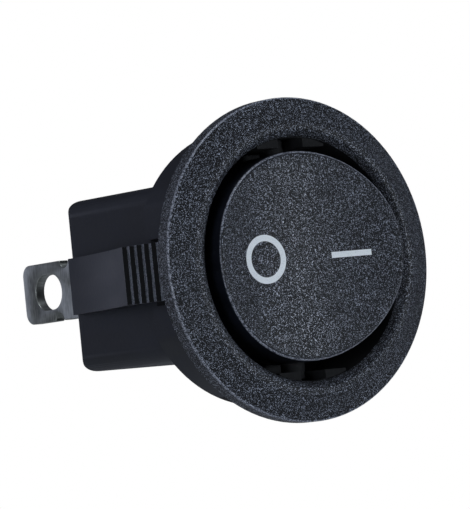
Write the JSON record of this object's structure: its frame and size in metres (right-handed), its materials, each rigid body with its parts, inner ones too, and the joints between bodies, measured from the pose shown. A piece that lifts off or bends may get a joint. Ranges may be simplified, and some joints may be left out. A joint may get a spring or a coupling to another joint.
{
  "type": "panel rocker switch",
  "caption": "Round snap-in panel rocker switch with a dished rocker in a domed bezel, toothed side arms and flat solder terminals.",
  "frame": {"origin": "centre of the bezel's rear face, in the plane of the panel", "axes": "+Y from the panel back along the body to the terminals, so the rocker faces -Y; +Z along the rocker's pivot axis; +X towards the end of the rocker that stands out at rest"},
  "size_m": [0.023, 0.0291, 0.023],
  "materials": {
    "housing_plastic": "black moulded plastic, fine spark-eroded bezel and satin body",
    "rocker_plastic": "black moulded plastic with a fine spark-eroded face",
    "plunger_plastic": "natural acetal",
    "spring_wire": "drawn stainless wire",
    "contact_silver": "silver contact face",
    "lever_copper": "stamped copper strip",
    "terminal_plating": "dull tin-plated brass sheet"
  },
  "bodies": {
    "switch_body": {"housing": "housing_plastic", "common_terminal": "terminal_plating", "end_terminal": "terminal_plating", "fixed_contact": "contact_silver"},
    "rocker_body": {"rocker": "rocker_plastic", "spring": "spring_wire"},
    "plunger_body": {"plunger": "plunger_plastic"},
    "lever_body": {"contact_lever": "lever_copper", "moving_contact": "contact_silver"}
  },
  "joints": [
    {"name": "rocker_pivot", "type": "hinge", "parent": "switch_body", "child": "rocker_body", "pos_m": [0, 0.001, 0], "axis": [0, 0, 1], "range_deg": [0, 16.4]},
    {"name": "plunger_slide", "type": "slide", "parent": "rocker_body", "child": "plunger_body", "axis": [-0.1426, -0.9898, 0], "range_m": [0, 0.0008], "stiffness_N_per_m": 300, "springref_m": -0.0015, "deforming": ["spring"]},
    {"name": "lever_rock", "type": "hinge", "parent": "switch_body", "child": "lever_body", "pos_m": [0, 0.0112, 0], "axis": [0, 0, 1], "range_deg": [-16.4, 0]}
  ],
  "couplings": [
    {"joint": "lever_rock", "follows": "rocker_pivot", "ratio": -1}
  ]
}
